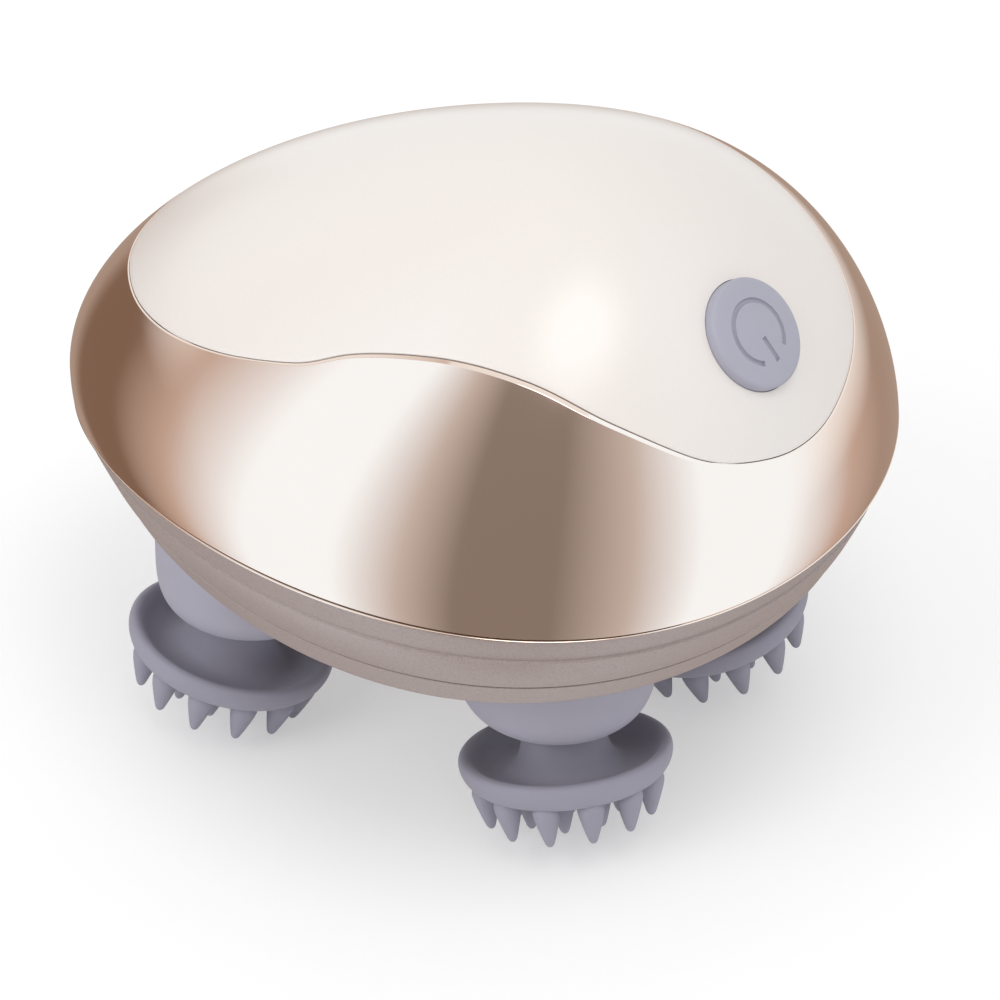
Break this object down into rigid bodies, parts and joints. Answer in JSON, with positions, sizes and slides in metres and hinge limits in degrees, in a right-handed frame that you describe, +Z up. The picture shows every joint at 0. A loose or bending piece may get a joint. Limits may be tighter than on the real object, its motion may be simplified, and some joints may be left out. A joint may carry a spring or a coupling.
{
  "type": "scalp massager brush",
  "caption": "Palm-held electric scalp massager: egg-shaped plated housing with a pearl top cover and power button over rocking silicone heads with soft claws.",
  "frame": {"origin": "centre of the bounding box in plan, on the plane that the claw tips stand on", "axes": "+X along the housing toward the power button, +Z up through the palm rest, -Y toward the side that the picture shows"},
  "size_m": [0.113, 0.0996, 0.0894],
  "materials": {
    "champagne_shell": "satin metallic paint",
    "rose_gold_plating": "mirror rose-gold plating",
    "pearl_cover": "gloss pearl",
    "button_grey": "satin",
    "head_silicone": "matt silicone",
    "boot_silicone": "matt silicone",
    "white_plastic": "moulded acetal",
    "brass": "turned",
    "circuit_green": "solder mask",
    "cell_sleeve": "shrink sleeve",
    "black_plastic": "moulded",
    "steel": "turned"
  },
  "bodies": {
    "housing": {"lower_shell": "champagne_shell", "upper_shell": "rose_gold_plating", "top_cover": "pearl_cover", "tact_switch": "black_plastic", "switch_board": "circuit_green", "control_board": "circuit_green", "battery_cell": "cell_sleeve", "battery_cradle": "black_plastic", "motor": "steel", "drive_axle": "steel", "gear_tray": "black_plastic", "gear_lid": "black_plastic", "charge_socket": "black_plastic", "housing_screw_1": "steel", "housing_screw_2": "steel", "housing_screw_3": "steel", "housing_screw_4": "steel", "gearbox_screw_1": "steel", "gearbox_screw_2": "steel", "gearbox_screw_3": "steel", "gearbox_screw_4": "steel", "board_screw_1": "steel", "board_screw_2": "steel", "board_screw_3": "steel", "bearing_bush_front_right": "brass", "bearing_bush_back_right": "brass", "bearing_bush_back_left": "brass", "bearing_bush_front_left": "brass", "boot_front_right": "boot_silicone", "boot_back_right": "boot_silicone", "boot_back_left": "boot_silicone", "boot_front_left": "boot_silicone"},
    "button": {"power_button": "button_grey"},
    "plunger": {"switch_plunger": "white_plastic"},
    "worm_shaft": {"worm": "brass"},
    "drive": {"drive_gear": "white_plastic"},
    "crank_front_right": {"output_gear_front_right": "white_plastic", "crank_front_right": "steel"},
    "head_front_right": {"massage_head_front_right": "head_silicone", "hub_insert_front_right": "white_plastic"},
    "crank_back_right": {"output_gear_back_right": "white_plastic", "crank_back_right": "steel"},
    "head_back_right": {"massage_head_back_right": "head_silicone", "hub_insert_back_right": "white_plastic"},
    "crank_back_left": {"output_gear_back_left": "white_plastic", "crank_back_left": "steel"},
    "head_back_left": {"massage_head_back_left": "head_silicone", "hub_insert_back_left": "white_plastic"},
    "crank_front_left": {"output_gear_front_left": "white_plastic", "crank_front_left": "steel"},
    "head_front_left": {"massage_head_front_left": "head_silicone", "hub_insert_front_left": "white_plastic"}
  },
  "joints": [
    {"name": "button_press", "type": "slide", "parent": "housing", "child": "button", "axis": [-0.7708, 0.1091, -0.6276], "range_m": [0, 0.0008], "stiffness_N_per_m": 1200, "springref_m": -0.0002},
    {"name": "plunger_press", "type": "slide", "parent": "housing", "child": "plunger", "axis": [-0.7708, 0.1091, -0.6276], "range_m": [0, 0.0008]},
    {"name": "drive_spin", "type": "hinge", "parent": "housing", "child": "drive", "pos_m": [0.001, 0, 0.04479], "axis": [0, 0, 1], "continuous": true},
    {"name": "worm_spin", "type": "hinge", "parent": "housing", "child": "worm_shaft", "pos_m": [0.001, 0.016, 0.05089], "axis": [1, 0, 0], "continuous": true},
    {"name": "crank_spin_front_right", "type": "hinge", "parent": "housing", "child": "crank_front_right", "pos_m": [0.02401, -0.01765, 0.02329], "axis": [0, 0, 1], "continuous": true},
    {"name": "head_rock_front_right", "type": "hinge", "parent": "crank_front_right", "child": "head_front_right", "pos_m": [0.02401, -0.01765, 0.02329], "axis": [-0.2053, 0.1576, 0.9659], "continuous": true},
    {"name": "crank_spin_back_right", "type": "hinge", "parent": "housing", "child": "crank_back_right", "pos_m": [0.02401, 0.01765, 0.02329], "axis": [0, 0, 1], "continuous": true},
    {"name": "head_rock_back_right", "type": "hinge", "parent": "crank_back_right", "child": "head_back_right", "pos_m": [0.02401, 0.01765, 0.02329], "axis": [-0.2053, -0.1576, 0.9659], "continuous": true},
    {"name": "crank_spin_back_left", "type": "hinge", "parent": "housing", "child": "crank_back_left", "pos_m": [-0.02201, 0.01765, 0.02329], "axis": [0, 0, 1], "continuous": true},
    {"name": "head_rock_back_left", "type": "hinge", "parent": "crank_back_left", "child": "head_back_left", "pos_m": [-0.02201, 0.01765, 0.02329], "axis": [0.2053, -0.1576, 0.9659], "continuous": true},
    {"name": "crank_spin_front_left", "type": "hinge", "parent": "housing", "child": "crank_front_left", "pos_m": [-0.02201, -0.01765, 0.02329], "axis": [0, 0, 1], "continuous": true},
    {"name": "head_rock_front_left", "type": "hinge", "parent": "crank_front_left", "child": "head_front_left", "pos_m": [-0.02201, -0.01765, 0.02329], "axis": [0.2053, 0.1576, 0.9659], "continuous": true}
  ],
  "couplings": [
    {"joint": "plunger_press", "follows": "button_press", "ratio": 1},
    {"joint": "worm_spin", "follows": "drive_spin", "ratio": 24},
    {"joint": "crank_spin_front_right", "follows": "drive_spin", "ratio": -2.625},
    {"joint": "head_rock_front_right", "follows": "drive_spin", "ratio": 2.625},
    {"joint": "crank_spin_back_right", "follows": "drive_spin", "ratio": -2.625},
    {"joint": "head_rock_back_right", "follows": "drive_spin", "ratio": 2.625},
    {"joint": "crank_spin_back_left", "follows": "drive_spin", "ratio": -2.625},
    {"joint": "head_rock_back_left", "follows": "drive_spin", "ratio": 2.625},
    {"joint": "crank_spin_front_left", "follows": "drive_spin", "ratio": -2.625},
    {"joint": "head_rock_front_left", "follows": "drive_spin", "ratio": 2.625}
  ]
}
